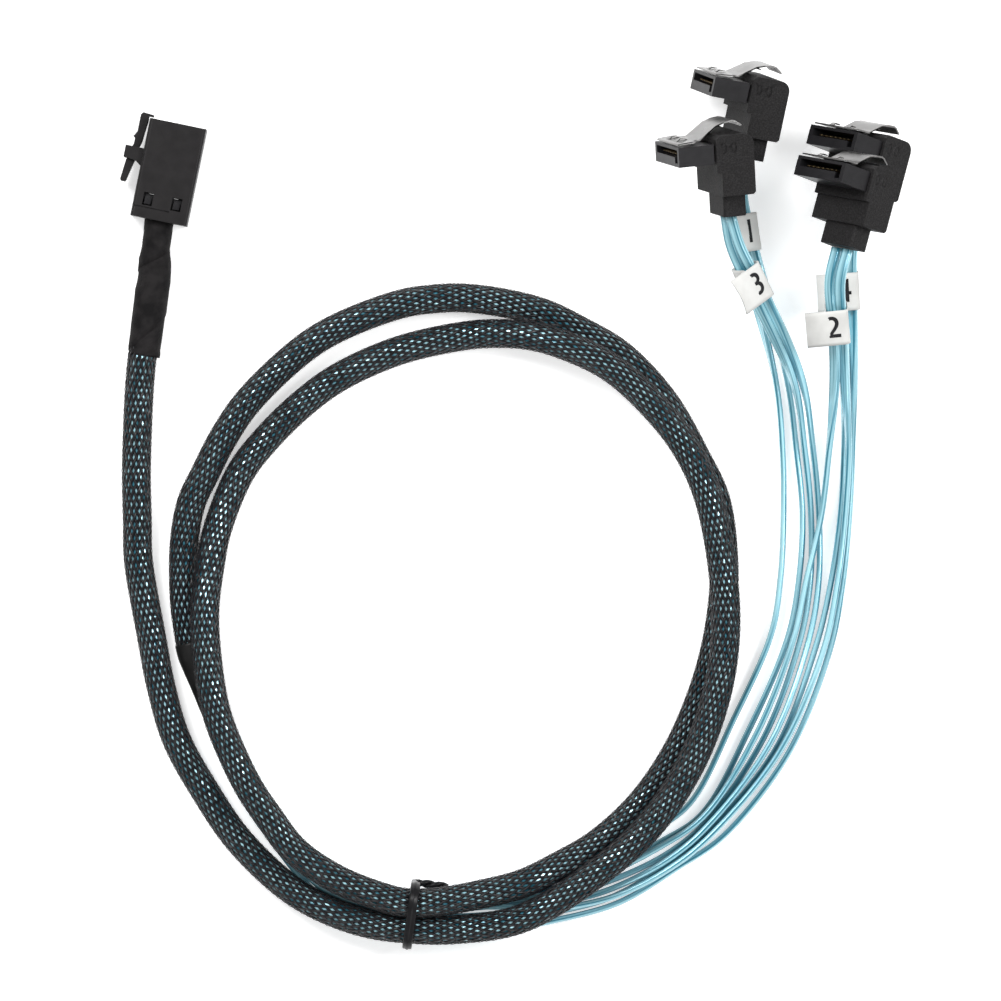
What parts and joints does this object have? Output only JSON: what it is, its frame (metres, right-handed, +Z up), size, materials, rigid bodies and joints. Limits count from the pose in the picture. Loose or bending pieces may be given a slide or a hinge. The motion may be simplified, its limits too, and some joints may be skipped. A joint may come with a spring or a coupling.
{
  "type": "mini sas breakout cable",
  "caption": "Braided breakout cable, coiled flat, from a mini SAS host plug with a press latch to right angle SATA plugs with steel latches on labelled flat leads.",
  "frame": {"origin": "middle of the box round the five plugs, on the surface the cable lies on", "axes": "+X from the host plug towards the SATA plugs, +Y towards the plugs' mating ends, +Z up"},
  "size_m": [0.158, 0.1779, 0.0375],
  "materials": {
    "black_plastic": "fine satin",
    "overmould": "fine grained matt",
    "circuit_board": "solder mask",
    "gold_contacts": "gold plated",
    "spring_steel": "satin",
    "cloth_tape": "matt woven tape",
    "braided_sleeve": "open black braid over blue leads",
    "heat_shrink": "satin",
    "blue_jacket": "glossy",
    "label_paper": "matt white",
    "tie_plastic": "satin"
  },
  "bodies": {
    "cable": {"host_housing": "black_plastic", "host_wire_block": "black_plastic", "host_card_1": "circuit_board", "host_card_2": "circuit_board", "plug_1_nose": "black_plastic", "plug_1_contacts": "gold_contacts", "plug_1_overmould": "overmould", "plug_2_nose": "black_plastic", "plug_2_contacts": "gold_contacts", "plug_2_overmould": "overmould", "plug_3_nose": "black_plastic", "plug_3_contacts": "gold_contacts", "plug_3_overmould": "overmould", "plug_4_nose": "black_plastic", "plug_4_contacts": "gold_contacts", "plug_4_overmould": "overmould", "host_wrap": "cloth_tape", "sleeve": "braided_sleeve", "sleeve_end_shrink": "heat_shrink", "lead_1": "blue_jacket", "lead_2": "blue_jacket", "lead_3": "blue_jacket", "lead_4": "blue_jacket", "lead_5": "blue_jacket", "lead_6": "blue_jacket", "lead_7": "blue_jacket", "lead_8": "blue_jacket", "label_1": "label_paper", "label_2": "label_paper", "label_3": "label_paper", "label_4": "label_paper", "tie": "tie_plastic"},
    "host_latch": {"host_latch": "black_plastic"},
    "plug_1_latch": {"plug_1_latch": "spring_steel"},
    "plug_2_latch": {"plug_2_latch": "spring_steel"},
    "plug_3_latch": {"plug_3_latch": "spring_steel"},
    "plug_4_latch": {"plug_4_latch": "spring_steel"}
  },
  "joints": [
    {"name": "host_latch_press", "type": "hinge", "parent": "cable", "child": "host_latch", "pos_m": [-0.07351, 0.00804, 0.0051], "axis": [0, 0, 1], "range_deg": [0, 3.5], "stiffness_Nm_per_rad": 0.05},
    {"name": "plug_1_latch_press", "type": "hinge", "parent": "cable", "child": "plug_1_latch", "pos_m": [0.03828, 0.0171, 0.01281], "axis": [-0.3175, 0.1512, -0.9361], "range_deg": [0, 3.5], "stiffness_Nm_per_rad": 0.05},
    {"name": "plug_2_latch_press", "type": "hinge", "parent": "cable", "child": "plug_2_latch", "pos_m": [0.0612, -0.00055, 0.03241], "axis": [-0.7074, 0.1394, -0.693], "range_deg": [0, 3.5], "stiffness_Nm_per_rad": 0.05},
    {"name": "plug_3_latch_press", "type": "hinge", "parent": "cable", "child": "plug_3_latch", "pos_m": [0.03035, 0.00254, 0.02744], "axis": [-0.3492, 0.1289, -0.9281], "range_deg": [0, 3.5], "stiffness_Nm_per_rad": 0.05},
    {"name": "plug_4_latch_press", "type": "hinge", "parent": "cable", "child": "plug_4_latch", "pos_m": [0.064, 0.00595, 0.01591], "axis": [-0.7074, 0.1394, -0.693], "range_deg": [0, 3.5], "stiffness_Nm_per_rad": 0.05}
  ]
}
